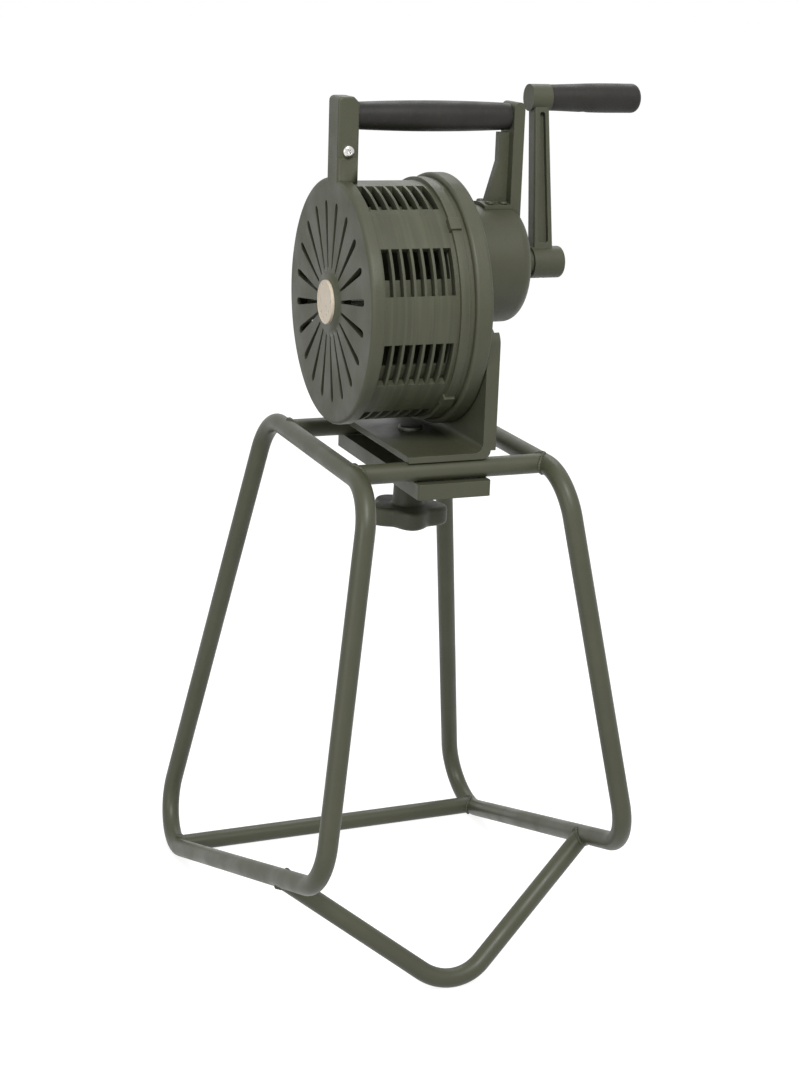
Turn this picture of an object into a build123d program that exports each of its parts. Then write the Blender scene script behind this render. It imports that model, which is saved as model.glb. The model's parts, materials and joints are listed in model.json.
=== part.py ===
from build123d import *

import os
from math import acos, atan, atan2, cos, degrees, pi, radians, sin, sqrt, tan

# Hand crank siren on a welded tube stand. Millimetres, +Z up, origin on the floor under
# the middle of the deck. The drum axis runs along X: the air intake faces -X and the crank
# is at +X. The stand's V brace is on the -Y side and its foot tube on the +Y side.

# ---------------------------------------------------------------- driving dimensions
# Stand: two closed loops of bent tube, leaning outwards, joined by straight tubes.
tube_d = 19.0
bend_r = 50.0            # centreline radius of every bend
loop_half_gap = 98.0     # centre plane to each loop's top bar
loop_lean = 9.3          # degrees that each loop leans outwards
top_bar_half = 150.0     # half length of a loop's top bar, corner to corner
foot_corner = (277.0, -538.0)    # loop corner over the foot, in the loop's own plane
brace_corner = (-213.0, -365.0)  # loop corner over the V brace, in the same plane
brace_inset = 109.0      # along the lower bar, from the brace corner to the V brace
brace_drop = 135.0       # depth of the V brace's corner in its own plane
brace_cross_y = -103.0   # cross tube under the drum, brace side
foot_cross_y = 88.0      # cross tube under the drum, foot side
weld_gap = 0.2           # fit-up gap of a coped tube end

# Deck clamp: angle bracket above the cross tubes, tray and star knob below them.
base_plate_t = 6.0
base_plate_front = -45.0
bracket_half_width = 110.0
bracket_top = 124.0      # height of the upright over the deck
bracket_corner_r = 16.0
bracket_bend_r = 8.0
upright_t = 8.0
upright_lip, upright_lip_w = 5.0, 5.0
notch_gap = 2.0          # between the upright's notch and the gear housing
tray_width, tray_height, tray_wall = 74.0, 15.0, 3.0
tray_overhang = 14.0     # past the middle of the brace-side cross tube
tray_gap = 0.3
stud_r = 5.0
stud_head_r, stud_head_h = 12.0, 4.0
stud_end_in = 5.0        # knob's lower face to the stud's end
washer_r, washer_t = 14.0, 2.0
knob_r, knob_t = 40.0, 19.0
knob_arm_w, knob_core_r = 19.0, 18.0
knob_arms = 5
knob_turned = -102.0     # degrees, direction of the first arm
knob_height = 70.0       # deck to the top of the star
knob_hub_r = 13.0

# Drum: intake cover, stator drum with its ports, bearing plate and rear housing.
drum_r, drum_wall = 113.5, 7.5
drum_lip = 3.5           # cover, and ridge at the back, proud of the drum
spigot_step = 3.5        # the drum steps in by this where it enters the cover
drum_clearance = 7.5     # rear housing to the base plate
face_x = -88.0           # air intake face
drum_back_x = 8.0
cover_t, cover_depth = 5.0, 12.0
cover_round = 4.0
cover_boss_r, cover_boss_proud = 29.0, 2.0
badge_r, badge_t = 21.0, 2.8
slot_count = 20
slot_boss_gap, slot_rim_gap = 3.0, 21.0
slot_inner_w, slot_outer_w = 4.4, 12.0
ridge_w = 9.0
port_groups = 8
ports_per_group = 7
port_pitch, port_w = 10.15, 7.6
first_port_gap = 2.4     # cover to the first row of ports
lug_proud, lug_w, lug_length = 6.0, 13.0, 11.0
plate_proud, bearing_plate_t = 2.5, 5.0
flange_proud, flange_round = 7.5, 3.0
housing_depth, housing_wall = 17.0, 6.0

# Rotor: a ported cup with radial vanes, on a shaft in two ball bearings.
rotor_gap = 1.0
rotor_wall, rotor_plate_t, rotor_rim = 3.0, 3.0, 3.0
rotor_end_gap = 11.0     # rotor to the back of the drum
rotor_past_ports = 0.9
rotor_lag = -8.5         # degrees that its ports stand off the stator's at rest
vane_t = 2.5
vane_inner_r = 26.0
hub_r, hub_length = 14.0, 42.0
shaft_r = 6.0
shaft_end_gap = 1.0
bearing_r, bearing_w = 14.0, 8.0
bearing_set_back = 3.0   # cover's face to the front bearing
race_inner_r, race_outer_r = 8.6, 11.4
shield_t = 0.8
seat_wall, seat_lip = 5.0, 1.0

# Gear train: the crank's wheel drives the idler, the idler's wheel the rotor.
crank_offset = 33.0      # crank axis over the drum axis
tooth_module = 1.0
pressure_angle = 25.0
backlash = 0.3
addendum, dedendum = 0.8, 1.1    # in modules
crank_teeth, idler_pinion_teeth = 66, 12
idler_teeth, rotor_pinion_teeth = 72, 12
crank_wheel_gap, crank_wheel_w = 8.0, 12.0    # housing's back to the wheel, and its width
idler_wheel_gap, idler_wheel_w = 1.0, 8.0     # bearing plate to the wheel, and its width
pinion_extra = 1.0       # a pinion is wider than its wheel by this at each end
wheel_rim, wheel_web = 5.0, 4.0
idler_r = 3.5
rotor_nose_r = 3.0
bush_wall = 2.0

# Gear housing and crank.
gear_clearance = 6.2     # idler pinion to the gear housing
gearbox_wall, gearbox_depth = 5.0, 70.0
gearbox_round = 12.0
nose_r, nose_length = 14.0, 12.0
inner_boss_gap = 12.0    # crank wheel to the inner bush
crank_bush_length = 16.0
box_lug_r, box_lug_t, box_lug_out = 8.0, 12.0, 6.5
box_lug_angles = (45.0, 135.0, 190.0, 350.0)
crank_shaft_r = 8.0
crank_radius = 160.0
crank_angle = 11.5       # degrees that the arm leans towards +Y at rest
crank_hub_gap = 8.0      # gear housing's nose to the crank's hub
crank_hub_r, crank_hub_length = 15.6, 33.5
arm_foot_inset, arm_foot_w = 2.0, 21.0        # from the hub's inner end
arm_tip_inset, arm_tip_w = 9.0, 15.5
arm_depth, arm_rib, arm_web = 16.0, 5.0, 6.0
boss_r, boss_inset, boss_length = 13.0, 6.0, 21.0
axle_r = 5.0
crank_grip_length = 98.0
crank_grip_r0, crank_grip_r1 = 12.6, 14.3
crank_grip_round = 7.0
retainer_r, retainer_t = 8.0, 3.0

# Carry handle. Heights with a name in _rise are over the drum or over the grip's axis.
grip_rise = 60.5         # drum to the grip's axis
post_w, post_depth = 21.0, 28.0
post_split_rise = 23.5   # drum to the seam of the front post
post_top_rise, rear_post_top_rise = 18.0, 14.0
tongue_t, tongue_inset, tongue_h = 9.0, 4.0, 16.0
post_screw_rise = 5.5    # seam to the screw
rod_r, rod_sink = 5.0, 13.0
carry_grip_r0, carry_grip_r1 = 12.6, 14.4
rear_post_set_in = 10.0  # in front of the gear housing's back
rear_post_t, rear_post_w = 11.0, 30.0
rear_web_t, rear_web_out, rear_web_foot_out = 9.0, 10.0, 22.0
rear_web_flare = 42.0    # gear housing to where the web starts to flare
saddle_t, saddle_out, saddle_half_w = 3.5, 28.0, 17.0
saddle_screw_x = (8.0, 22.0)     # from the saddle's front edge

# Fastenings and fits.
screw_r, screw_head_r, screw_head_h = 3.0, 5.6, 3.4
small_screw_r, small_head_r, small_head_h = 2.5, 4.4, 2.6
run_gap = 0.05           # radial, running
set_gap = 0.02           # radial, seated
face_gap = 0.3           # between parts that pass each other

# ---------------------------------------------------------------- shared places
tube_r = tube_d / 2
cover_r = ridge_r = drum_r + drum_lip
spigot_r = drum_r - spigot_step
bearing_plate_r = drum_r + plate_proud
lug_reach = drum_r + lug_proud
flange_r = drum_r + flange_proud
slot_inner_r = cover_boss_r + slot_boss_gap
slot_outer_r = cover_r - slot_rim_gap
axis_height = flange_r + base_plate_t + drum_clearance

# Stations along the drum axis, from the air intake to the crank.
cover_back_x = face_x + cover_depth
first_port_x = cover_back_x + first_port_gap
plate_back_x = drum_back_x + bearing_plate_t
housing_back_x = plate_back_x + housing_depth
idler_wheel_x = plate_back_x + idler_wheel_gap
crank_wheel_x = housing_back_x + crank_wheel_gap
inner_boss_x = crank_wheel_x + crank_wheel_w + inner_boss_gap
gearbox_back_x = housing_back_x + gearbox_depth
nose_x = gearbox_back_x + nose_length
crank_hub_x = nose_x + crank_hub_gap
crank_hub_end = crank_hub_x + crank_hub_length
arm_foot_x = crank_hub_x + arm_foot_inset
arm_tip_x = crank_hub_x + arm_tip_inset
boss_x = crank_hub_x + boss_inset
boss_end = boss_x + boss_length
rear_post_x = gearbox_back_x - rear_post_set_in
saddle_front_x = rear_post_x - saddle_out

# The gear housing clears the idler's pinion, which reaches further out than the wheel.
crank_mesh = tooth_module * (crank_teeth + idler_pinion_teeth) / 2
rotor_mesh = tooth_module * (idler_teeth + rotor_pinion_teeth) / 2
idler_pinion_tip_r = tooth_module * (idler_pinion_teeth / 2 + addendum)
gearbox_r = crank_mesh + idler_pinion_tip_r + gear_clearance + gearbox_wall

# Heights of the carry handle over the drum axis.
post_split = drum_r + post_split_rise
post_screw_z = post_split + post_screw_rise
handle_height = drum_r + grip_rise
post_top = handle_height + post_top_rise
rear_post_top = handle_height + rear_post_top_rise
rear_web_knee = crank_offset + gearbox_r + rear_web_flare

lean = radians(loop_lean)
loop_corners = [(-top_bar_half, 0), (top_bar_half, 0), foot_corner, brace_corner]

with BuildLine() as loop_shape:
    FilletPolyline(*loop_corners, radius=bend_r, close=True)
foot_bend = loop_shape.edges().filter_by(GeomType.CIRCLE).sort_by(Axis.Y)[0].arc_center

# The loops stand on the lowest point of their foot bends, and the deck follows from that.
top_bar_z = (bend_r - foot_bend.Y) * cos(lean) + tube_r
foot_y = foot_bend.X
foot_half_gap = loop_half_gap + (top_bar_z - tube_r) * tan(lean)
deck_z = top_bar_z + tube_r
drum_z = deck_z + axis_height
crank_z = drum_z + crank_offset
loop_plane = Plane(
    origin=(-loop_half_gap, 0, top_bar_z), x_dir=(0, 1, 0), z_dir=(cos(lean), 0, -sin(lean))
)


def across(x, y=0.0, z=drum_z):
    """Sketch plane square to the drum axis: its x is +Y, its y is +Z, its normal +X."""
    return Plane(origin=(x, y, z), x_dir=(0, 1, 0), z_dir=(1, 0, 0))


def lengthwise(z=drum_z, y=0.0):
    """Sketch plane along the drum axis: its x is +X, its y is +Z, its normal -Y."""
    return Plane(origin=(0, y, z), x_dir=(1, 0, 0), z_dir=(0, -1, 0))


def radial(x, angle, z=drum_z):
    """Sketch plane whose normal points out from an axis along X, at an angle from +Y."""
    out = (0, cos(radians(angle)), sin(radians(angle)))
    return Plane(origin=(x, 0, z), x_dir=(1, 0, 0), z_dir=out)


def polar(radius, angle):
    """A point on a circle, angle in degrees."""
    return (radius * cos(radians(angle)), radius * sin(radians(angle)))


def screw(seat, shank, head_r, head_h, length):
    """A pan-head screw: the head stands on the seat plane and the shank runs below it."""
    with BuildPart() as piece:
        with BuildSketch(seat):
            Circle(head_r)
        extrude(amount=head_h)
        crown = piece.faces().sort_by(Axis(seat.origin, seat.z_dir))[-1]
        fillet(crown.edges(), head_h * 0.6)
        with BuildSketch(seat):
            Circle(shank)
        extrude(amount=-length)
    return piece.part


def ring(plane, outer_r, inner_r, width):
    """A plain ring, such as a bush, standing on the plane."""
    with BuildPart() as piece:
        with BuildSketch(plane):
            Circle(outer_r)
            Circle(inner_r, mode=Mode.SUBTRACT)
        extrude(amount=width)
    return piece.part


def finish(part, name):
    part.label = name
    export_step(part, f"parts/{name}.step")


os.makedirs("parts", exist_ok=True)


# ---------------------------------------------------------------- stand
def bent_loop(radius):
    """The front loop's tube, or a fatter one that copes the tubes welded to it."""
    with BuildPart() as loop:
        with BuildLine(loop_plane) as path:
            FilletPolyline(*loop_corners, radius=bend_r, close=True)
        with BuildSketch(Plane(origin=path.line @ 0, z_dir=path.line % 0)):
            Circle(radius)
        sweep()
    return loop.part


with BuildPart() as front_loop:
    add(bent_loop(tube_r))
finish(front_loop.part, "front_loop")

with BuildPart() as rear_loop:
    mirror(front_loop.part, about=Plane.YZ)
finish(rear_loop.part, "rear_loop")

with BuildPart() as cope:
    add(bent_loop(tube_r + weld_gap))
    mirror(about=Plane.YZ)


def cross_tube(y, z, half_length):
    """A straight tube along X between the two loops, coped to fit them."""
    with BuildPart() as tube:
        with BuildSketch(across(-half_length - tube_r, y, z)):
            Circle(tube_r)
        extrude(amount=2 * (half_length + tube_r))
        add(cope.part, mode=Mode.SUBTRACT)
        between = tube.solids().sort_by(SortBy.VOLUME)[-1]
        add(between, mode=Mode.REPLACE)
    return tube.part


with BuildPart() as brace_side_cross_tube:
    add(cross_tube(brace_cross_y, top_bar_z, loop_half_gap))
finish(brace_side_cross_tube.part, "brace_side_cross_tube")

with BuildPart() as foot_side_cross_tube:
    add(cross_tube(foot_cross_y, top_bar_z, loop_half_gap))
finish(foot_side_cross_tube.part, "foot_side_cross_tube")

with BuildPart() as foot_tube:
    add(cross_tube(foot_y, tube_r, foot_half_gap))
finish(foot_tube.part, "foot_tube")

# The V brace hangs from the lower bars and leans outwards until its bend meets the floor.
bar_run = Vector(foot_corner) - Vector(brace_corner)
brace_end = loop_plane.from_local_coords(Vector(brace_corner) + bar_run.normalized() * brace_inset)
brace_half = atan(abs(brace_end.X) / brace_drop)
brace_bend_depth = brace_drop - bend_r * (1 / sin(brace_half) - 1)
brace_lean = acos((brace_end.Z - tube_r) / brace_bend_depth)
brace_plane = Plane(
    origin=(0, brace_end.Y, brace_end.Z),
    x_dir=(1, 0, 0),
    z_dir=(0, -cos(brace_lean), sin(brace_lean)),
)
with BuildPart() as v_brace:
    with BuildLine(brace_plane) as brace_path:
        FilletPolyline((brace_end.X, 0), (0, -brace_drop), (-brace_end.X, 0), radius=bend_r)
    with BuildSketch(Plane(origin=brace_path.line @ 0, z_dir=brace_path.line % 0)):
        Circle(tube_r)
    sweep()
    add(cope.part, mode=Mode.SUBTRACT)
finish(v_brace.part, "v_brace")

# ---------------------------------------------------------------- deck clamp
upright_x = housing_back_x
upright_back_x = upright_x + upright_t
bracket_screw_ring_r = flange_r - 23.0
bracket_screw_angles = (215.0, 245.0, 295.0, 325.0)
bracket_screw_places = [polar(bracket_screw_ring_r, a) for a in bracket_screw_angles]

with BuildPart() as base_bracket:
    with BuildSketch(Plane.XY.offset(deck_z)):
        with Locations(((base_plate_front + upright_back_x) / 2, 0)):
            Rectangle(upright_back_x - base_plate_front, 2 * bracket_half_width)
    extrude(amount=base_plate_t)
    with BuildSketch(across(upright_x, 0, deck_z)) as upright_face:
        with Locations((0, bracket_top / 2)):
            Rectangle(2 * bracket_half_width, bracket_top)
        fillet(upright_face.vertices().group_by(Axis.Y)[-1], bracket_corner_r)
    extrude(amount=upright_t)
    along_y = edges().filter_by(Axis.Y)
    inner_bend = along_y.sort_by_distance((upright_x, 0, deck_z + base_plate_t))[0]
    outer_bend = along_y.sort_by_distance((upright_back_x, 0, deck_z))[0]
    fillet([inner_bend, outer_bend], bracket_bend_r)
    # Stiffening lips along the upright's two edges, clear of the bend.
    with BuildSketch(across(upright_back_x, 0, deck_z)):
        add(upright_face.sketch_local)
        with Locations((0, bracket_top / 2)):
            Rectangle(2 * (bracket_half_width - upright_lip_w), bracket_top, mode=Mode.SUBTRACT)
        with Locations((0, bracket_bend_r / 2)):
            Rectangle(2 * bracket_half_width, bracket_bend_r, mode=Mode.SUBTRACT)
    extrude(amount=upright_lip)
    # Round notch that the gear housing drops into.
    with BuildSketch(across(upright_x, 0, crank_z)):
        Circle(gearbox_r + notch_gap)
    extrude(amount=upright_t, mode=Mode.SUBTRACT)
    with BuildSketch(across(upright_x)):
        with Locations(*bracket_screw_places):
            Circle(screw_r + set_gap)
    extrude(amount=upright_t, mode=Mode.SUBTRACT)
    with BuildSketch(Plane.XY.offset(deck_z)):
        Circle(stud_r + set_gap)
    extrude(amount=base_plate_t, mode=Mode.SUBTRACT)
finish(base_bracket.part, "base_bracket")

tray_top_z = deck_z - tube_d - tray_gap
tray_web_z = tray_top_z - tray_wall
tray_back_y = brace_cross_y - tray_overhang
tray_length = foot_cross_y + tube_d - tray_back_y
tray_mid_y = tray_back_y + tray_length / 2
knob_top_z = deck_z - knob_height
knob_z = knob_top_z - knob_t
stud_end_z = knob_z + stud_end_in

with BuildPart() as clamp_stud:
    add(
        screw(
            Plane.XY.offset(deck_z + base_plate_t),
            stud_r,
            stud_head_r,
            stud_head_h,
            deck_z + base_plate_t - stud_end_z,
        )
    )
finish(clamp_stud.part, "clamp_stud")

with BuildPart() as clamp_tray:
    with BuildSketch(Plane.XY.offset(tray_top_z)):
        with Locations((0, tray_mid_y)):
            RectangleRounded(tray_width, tray_length, tray_wall)
    extrude(amount=-tray_height)
    with BuildSketch(Plane.XY.offset(tray_web_z)):
        with Locations((0, tray_mid_y)):
            Rectangle(tray_width - 2 * tray_wall, tray_length - 2 * tray_wall)
    extrude(amount=-tray_height, mode=Mode.SUBTRACT)
    with BuildSketch(Plane.XY.offset(tray_top_z)):
        Circle(stud_r + face_gap)
    extrude(amount=-tray_wall, mode=Mode.SUBTRACT)
finish(clamp_tray.part, "clamp_tray")

with BuildPart() as knob_washer:
    add(ring(Plane.XY.offset(tray_web_z - washer_t), washer_r, stud_r + face_gap, washer_t))
finish(knob_washer.part, "knob_washer")

with BuildPart() as clamp_knob:
    with BuildSketch(Plane.XY.offset(knob_z)):
        Circle(knob_core_r)
        with PolarLocations((knob_r - knob_arm_w / 2) / 2, knob_arms, start_angle=knob_turned):
            SlotOverall(knob_r + knob_arm_w / 2, knob_arm_w)
    extrude(amount=knob_t)
    fillet(edges().group_by(Axis.Z)[-1] + edges().group_by(Axis.Z)[0], 3)
    with BuildSketch(Plane.XY.offset(knob_top_z)):
        Circle(knob_hub_r + 2)
    with BuildSketch(Plane.XY.offset(tray_web_z - washer_t)):
        Circle(knob_hub_r)
    loft()
    with BuildSketch(Plane.XY.offset(knob_z)):
        Circle(stud_r + run_gap)
    extrude(amount=tray_web_z - washer_t - knob_z, mode=Mode.SUBTRACT)
finish(clamp_knob.part, "clamp_knob")

# ---------------------------------------------------------------- drum
face_back_x = face_x + cover_t
drum_inner_r = drum_r - drum_wall
spigot_length = cover_depth - cover_t - face_gap
front_bearing_x = face_back_x + bearing_set_back
boss_seat_r = bearing_r + seat_wall
rear_bearing_x = plate_back_x - seat_lip - bearing_w
post_mid_x = face_x + post_w / 2
tongue_w = post_w - 2 * tongue_inset
port_arc = 180 / port_groups
cover_screw_angles = (30.0, 270.0, 330.0)
cover_screw_x = cover_back_x - spigot_length / 2
housing_screw_ring_r = (drum_inner_r + cover_r) / 2 - 0.5
housing_screw_places = [polar(housing_screw_ring_r, 45 + 90 * k) for k in range(4)]


def port_wedges(radius, turned=0.0):
    """One wedge for each group of ports, drawn in the current sketch."""
    half = radians(port_arc / 2)
    with PolarLocations(0, port_groups, start_angle=port_arc + turned):
        Polygon((0, 0), (radius, -radius * tan(half)), (radius, radius * tan(half)), align=None)


with BuildSketch() as air_slot:
    with Locations((slot_inner_r + slot_inner_w / 2, 0)):
        Circle(slot_inner_w / 2)
    with Locations((slot_outer_r - slot_outer_w / 2, 0)):
        Circle(slot_outer_w / 2)
    make_hull()

with BuildPart() as intake_cover:
    with BuildSketch(across(face_x)):
        Circle(cover_r)
    extrude(amount=cover_depth)
    fillet(edges().filter_by(GeomType.CIRCLE).sort_by(Axis.X)[0], cover_round)
    # The handle's lower post is cast with the cover and reaches back over the drum.
    with BuildSketch(Plane.XY.offset(drum_z + spigot_r)):
        with Locations((post_mid_x, 0)):
            RectangleRounded(post_w, post_depth, 2)
    extrude(amount=post_split - spigot_r)
    with BuildSketch(Plane.XY.offset(drum_z + post_split)):
        with Locations((post_mid_x, 0)):
            Rectangle(tongue_w, tongue_t)
    extrude(amount=tongue_h)
    with BuildSketch(lengthwise(drum_z, tongue_t / 2)):
        with Locations((post_mid_x, post_screw_z)):
            Circle(screw_r + set_gap)
    extrude(amount=tongue_t, mode=Mode.SUBTRACT)
    with BuildSketch(across(face_back_x)):
        Circle(spigot_r + set_gap)
    extrude(amount=cover_depth - cover_t, mode=Mode.SUBTRACT)
    with BuildSketch(across(cover_back_x)):
        Circle(drum_r + face_gap)
    extrude(amount=post_w, mode=Mode.SUBTRACT)
    with BuildSketch(across(face_x - cover_boss_proud)):
        Circle(cover_boss_r)
    extrude(amount=cover_boss_proud)
    # Seat of the front bearing, behind the face.
    with BuildSketch(across(face_back_x)):
        Circle(boss_seat_r)
    extrude(amount=front_bearing_x + bearing_w - face_back_x)
    with BuildSketch(across(front_bearing_x)):
        Circle(bearing_r + set_gap)
    extrude(amount=bearing_w, mode=Mode.SUBTRACT)
    with BuildSketch(across(face_back_x)):
        Circle(race_inner_r + shield_t)
    extrude(amount=front_bearing_x - face_back_x, mode=Mode.SUBTRACT)
    # Radial air slots, narrow towards the boss, with a rib upright at the top.
    with BuildSketch(across(face_x)):
        with PolarLocations(0, slot_count, start_angle=180 / slot_count):
            add(air_slot.sketch)
    extrude(amount=cover_t, mode=Mode.SUBTRACT)
    for angle in cover_screw_angles:
        with BuildSketch(radial(cover_screw_x, angle).offset(spigot_r - 1)):
            Circle(small_screw_r + set_gap)
        extrude(amount=cover_r + 1 - spigot_r, mode=Mode.SUBTRACT)
finish(intake_cover.part, "intake_cover")

with BuildPart() as badge_disc:
    with BuildSketch(across(face_x - cover_boss_proud)):
        Circle(badge_r)
    extrude(amount=-badge_t)
    fillet(edges().filter_by(GeomType.CIRCLE).sort_by(Axis.X)[0], 0.8)
finish(badge_disc.part, "badge_disc")

with BuildPart() as cover_screws:
    for angle in cover_screw_angles:
        with BuildSketch(radial(cover_screw_x, angle).offset(drum_inner_r + 1)):
            Circle(small_screw_r)
        extrude(amount=cover_r - drum_inner_r - 1.5)
finish(cover_screws.part, "cover_screws")

with BuildPart() as stator_drum:
    with BuildSketch(across(cover_back_x)):
        Circle(drum_r)
    extrude(amount=drum_back_x - cover_back_x)
    with BuildSketch(across(cover_back_x)):
        Circle(spigot_r)
    extrude(amount=-spigot_length)
    with BuildSketch(across(drum_back_x - ridge_w)):
        Circle(ridge_r)
    extrude(amount=ridge_w)
    # Square lugs that the housing screws thread into.
    with BuildSketch(across(drum_back_x - lug_length)):
        with PolarLocations((drum_r + lug_reach) / 2 - 2, 4, start_angle=45):
            Rectangle(lug_reach - drum_r + 4, lug_w)
    extrude(amount=lug_length)
    with BuildSketch(across(cover_back_x - spigot_length)):
        Circle(drum_inner_r)
    extrude(amount=drum_back_x - cover_back_x + spigot_length, mode=Mode.SUBTRACT)
    for row in range(ports_per_group):
        with BuildSketch(across(first_port_x + row * port_pitch)):
            port_wedges(cover_r)
        extrude(amount=port_w, mode=Mode.SUBTRACT)
    with BuildSketch(across(drum_back_x)):
        with Locations(*housing_screw_places):
            Circle(small_screw_r + set_gap)
    extrude(amount=-lug_length + 2, mode=Mode.SUBTRACT)
    for angle in cover_screw_angles:
        with BuildSketch(radial(cover_screw_x, angle).offset(drum_inner_r - 1)):
            Circle(small_screw_r + set_gap)
        extrude(amount=spigot_r + 2 - drum_inner_r, mode=Mode.SUBTRACT)
finish(stator_drum.part, "stator_drum")

# The idler's axis lies where the circles of its two meshes cross, on the +Y side.
idler_z = (rotor_mesh**2 - crank_mesh**2 + crank_offset**2) / (2 * crank_offset)
idler_y = sqrt(rotor_mesh**2 - idler_z**2)
idler_bush_r = idler_r + bush_wall

with BuildPart() as bearing_plate:
    with BuildSketch(across(drum_back_x)):
        Circle(bearing_plate_r)
    extrude(amount=bearing_plate_t)
    with BuildSketch(across(rear_bearing_x - seat_lip)):
        Circle(boss_seat_r)
    extrude(amount=drum_back_x - rear_bearing_x + seat_lip)
    with BuildSketch(across(rear_bearing_x - seat_lip)):
        Circle(bearing_r + set_gap)
    extrude(amount=bearing_w + seat_lip, mode=Mode.SUBTRACT)
    with BuildSketch(across(drum_back_x)):
        Circle(race_inner_r + shield_t)
        with Locations((idler_y, idler_z)):
            Circle(idler_bush_r + set_gap)
        with Locations(*housing_screw_places):
            Circle(small_screw_r + set_gap)
    extrude(amount=bearing_plate_t, mode=Mode.SUBTRACT)
finish(bearing_plate.part, "bearing_plate")

back_plate_x = housing_back_x - housing_wall
box_lug_places = [polar(gearbox_r + box_lug_out, a) for a in box_lug_angles]
housing_screw_seat_x = housing_back_x - small_head_h - face_gap
housing_screw_length = housing_screw_seat_x - drum_back_x + lug_length - 3

with BuildPart() as rear_housing:
    with BuildSketch(across(plate_back_x)):
        Circle(flange_r)
    extrude(amount=housing_back_x - plate_back_x)
    fillet(edges().filter_by(GeomType.CIRCLE), flange_round)
    with BuildSketch(across(plate_back_x)):
        Circle(drum_inner_r)
    extrude(amount=back_plate_x - plate_back_x, mode=Mode.SUBTRACT)
    with BuildSketch(across(housing_back_x)):
        with Locations((idler_y, idler_z)):
            Circle(idler_bush_r + set_gap)
        with Locations(*bracket_screw_places):
            Circle(screw_r + set_gap)
    extrude(amount=-housing_wall, mode=Mode.SUBTRACT)
    with BuildSketch(across(housing_back_x, 0, crank_z)):
        with Locations(*box_lug_places):
            Circle(screw_r + set_gap)
    extrude(amount=-housing_wall, mode=Mode.SUBTRACT)
    with BuildSketch(across(housing_back_x)):
        with Locations(*housing_screw_places):
            Circle(small_screw_r + set_gap)
    extrude(amount=plate_back_x - housing_back_x, mode=Mode.SUBTRACT)
    with BuildSketch(across(housing_back_x)):
        with Locations(*housing_screw_places):
            Circle(small_head_r + face_gap)
    extrude(amount=housing_screw_seat_x - housing_back_x, mode=Mode.SUBTRACT)
finish(rear_housing.part, "rear_housing")

with BuildPart() as housing_screws:
    for y, z in housing_screw_places:
        seat = across(housing_screw_seat_x, y, drum_z + z)
        add(screw(seat, small_screw_r, small_head_r, small_head_h, housing_screw_length))
finish(housing_screws.part, "housing_screws")

with BuildPart() as bracket_screws:
    for y, z in bracket_screw_places:
        seat = across(upright_back_x, y, drum_z + z)
        add(screw(seat, screw_r, screw_head_r, screw_head_h, upright_t + housing_wall - 1))
finish(bracket_screws.part, "bracket_screws")

# ---------------------------------------------------------------- rotor and bearings
rotor_r = drum_inner_r - rotor_gap
rotor_back_x = drum_back_x - rotor_end_gap
rotor_front_x = first_port_x - rotor_past_ports
shaft_front_x = front_bearing_x - shaft_end_gap
shaft_step_x = rear_bearing_x + bearing_w
rotor_pinion_x = idler_wheel_x - pinion_extra
pinion_w = idler_wheel_w + 2 * pinion_extra
vane_length = rotor_r - rotor_wall / 2 - vane_inner_r

with BuildPart() as rotor:
    with BuildSketch(across(rotor_back_x)):
        Circle(rotor_r)
        Circle(rotor_r - rotor_wall, mode=Mode.SUBTRACT)
    extrude(amount=rotor_front_x - rotor_back_x)
    with BuildSketch(across(rotor_back_x - rotor_plate_t)):
        port_wedges(rotor_r + 1, rotor_lag)
    extrude(amount=rotor_front_x + rotor_rim - rotor_back_x + rotor_plate_t, mode=Mode.SUBTRACT)
    with BuildSketch(across(rotor_back_x)):
        Circle(rotor_r)
    extrude(amount=-rotor_plate_t)
    with BuildSketch(across(rotor_back_x)):
        Circle(hub_r)
    extrude(amount=-hub_length)
    # One vane behind each land of the wall.
    with BuildSketch(across(rotor_back_x)):
        with PolarLocations(vane_inner_r + vane_length / 2, port_groups, start_angle=rotor_lag):
            Rectangle(vane_length, vane_t)
    extrude(amount=rotor_front_x - rotor_back_x)
    with BuildSketch(across(rotor_back_x)):
        Circle(shaft_r + set_gap)
    extrude(amount=-hub_length, mode=Mode.SUBTRACT)
finish(rotor.part, "rotor")

with BuildPart() as rotor_shaft:
    with BuildSketch(across(shaft_front_x)):
        Circle(shaft_r)
    extrude(amount=shaft_step_x - shaft_front_x)
    with BuildSketch(across(shaft_step_x)):
        Circle(rotor_nose_r)
    extrude(amount=rotor_pinion_x + pinion_w - shaft_step_x)
finish(rotor_shaft.part, "rotor_shaft")


def outer_ring(x):
    """A ball bearing's outer ring with the two shields that close it."""
    with BuildPart() as piece:
        with BuildSketch(across(x)):
            Circle(bearing_r)
            Circle(race_inner_r + run_gap, mode=Mode.SUBTRACT)
        extrude(amount=bearing_w)
        with BuildSketch(across(x + shield_t)):
            Circle(race_outer_r)
        extrude(amount=bearing_w - 2 * shield_t, mode=Mode.SUBTRACT)
    return piece.part


for end, bearing_x in (("front", front_bearing_x), ("rear", rear_bearing_x)):
    inner_ring = ring(across(bearing_x), race_inner_r, shaft_r + set_gap, bearing_w)
    finish(outer_ring(bearing_x), f"{end}_bearing_outer_ring")
    finish(inner_ring, f"{end}_bearing_inner_ring")


# ---------------------------------------------------------------- gear train
def involute(angle):
    return tan(angle) - angle


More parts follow.
